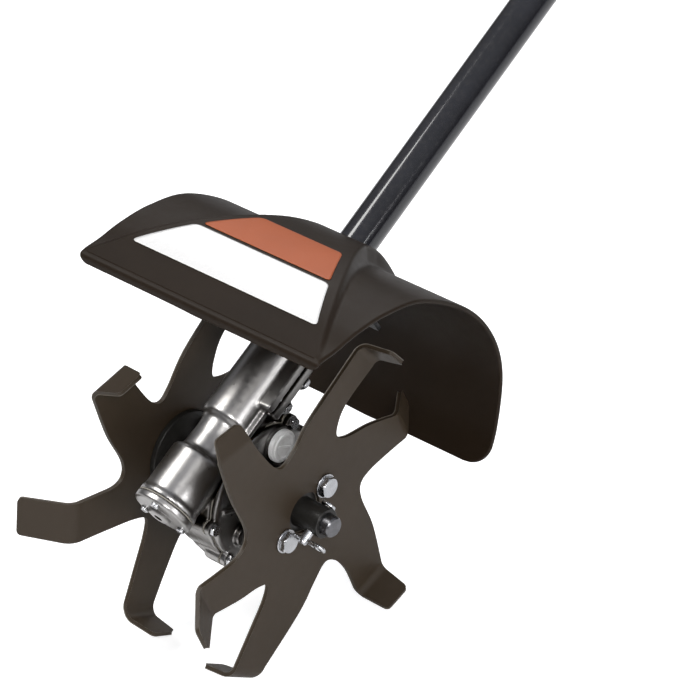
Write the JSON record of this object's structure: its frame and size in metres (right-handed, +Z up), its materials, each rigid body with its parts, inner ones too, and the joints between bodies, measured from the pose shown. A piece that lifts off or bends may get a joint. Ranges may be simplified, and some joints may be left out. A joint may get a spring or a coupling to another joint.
{
  "type": "rotary tiller attachment",
  "caption": "Rotary tiller attachment on a drive tube: bent-tine discs each side of a worm gear case, under a moulded guard.",
  "frame": {"origin": "on the drive tube's centre line, at the middle of the 60 mm of tube that a coupler grips; the tine axle is 572 mm away, down the tube", "axes": "+X along the tine axle; +Z up; the drive tube leans back towards +Y by 60 degrees from +Z, so it points along (0, 0.866, 0.5)"},
  "size_m": [0.2, 0.6255, 0.4636],
  "materials": {
    "tube_black": "gloss",
    "case_aluminium": "polished",
    "steel_bright": "satin",
    "steel_dark": "satin",
    "bronze": "satin",
    "gasket_fibre": "matte",
    "seal_rubber": "matte",
    "carrier_plastic": "matte",
    "plug_grey": "satin",
    "tine_paint": "satin",
    "hub_black": "satin",
    "guard_plastic": "satin",
    "bracket_black": "satin",
    "label_white": "gloss",
    "label_orange": "gloss"
  },
  "bodies": {
    "frame": {"shaft_tube": "tube_black", "bush_carriers": "carrier_plastic", "shaft_bushes": "bronze", "gear_case": "case_aluminium", "gear_cover": "case_aluminium", "cover_gasket": "gasket_fibre", "cover_screws": "steel_bright", "filler_plug": "plug_grey", "drain_plug": "steel_dark", "worm_cap": "case_aluminium", "cap_gasket": "gasket_fibre", "cap_screws": "steel_bright", "worm_bearing_outers": "steel_bright", "bearing_circlip": "steel_dark", "axle_bushes": "bronze", "axle_seals": "seal_rubber", "clamp_bolts": "steel_bright", "locating_screw": "steel_bright", "guard_shell": "guard_plastic", "guard_bracket": "bracket_black", "bracket_cap": "bracket_black", "bracket_bolts": "steel_bright", "bracket_nuts": "steel_bright", "guard_screws": "steel_bright", "label_lower": "label_white", "label_upper": "label_orange"},
    "rotor": {"worm_wheel": "bronze", "wheel_hub": "steel_dark", "wheel_key": "steel_dark", "tine_axle": "steel_dark", "tine_hub_right": "hub_black", "tine_hub_left": "hub_black", "tine_disc_right": "tine_paint", "tine_disc_left": "tine_paint", "hub_bolts": "steel_bright", "hub_nuts": "steel_bright", "clevis_pins": "steel_bright", "retaining_clips": "steel_bright"},
    "drive": {"drive_shaft": "steel_dark", "worm_shaft": "steel_dark", "worm": "steel_dark", "worm_bearing_inners": "steel_bright", "worm_bearing_balls": "steel_bright"}
  },
  "joints": [
    {"name": "rotor_spin", "type": "hinge", "parent": "frame", "child": "rotor", "pos_m": [0, -0.46963, -0.32657], "axis": [1, 0, 0], "continuous": true},
    {"name": "drive_spin", "type": "hinge", "parent": "frame", "child": "drive", "pos_m": [0, -0.49363, -0.285], "axis": [0, 0.866, 0.5], "continuous": true}
  ],
  "couplings": [
    {"joint": "drive_spin", "follows": "rotor_spin", "ratio": 39}
  ]
}
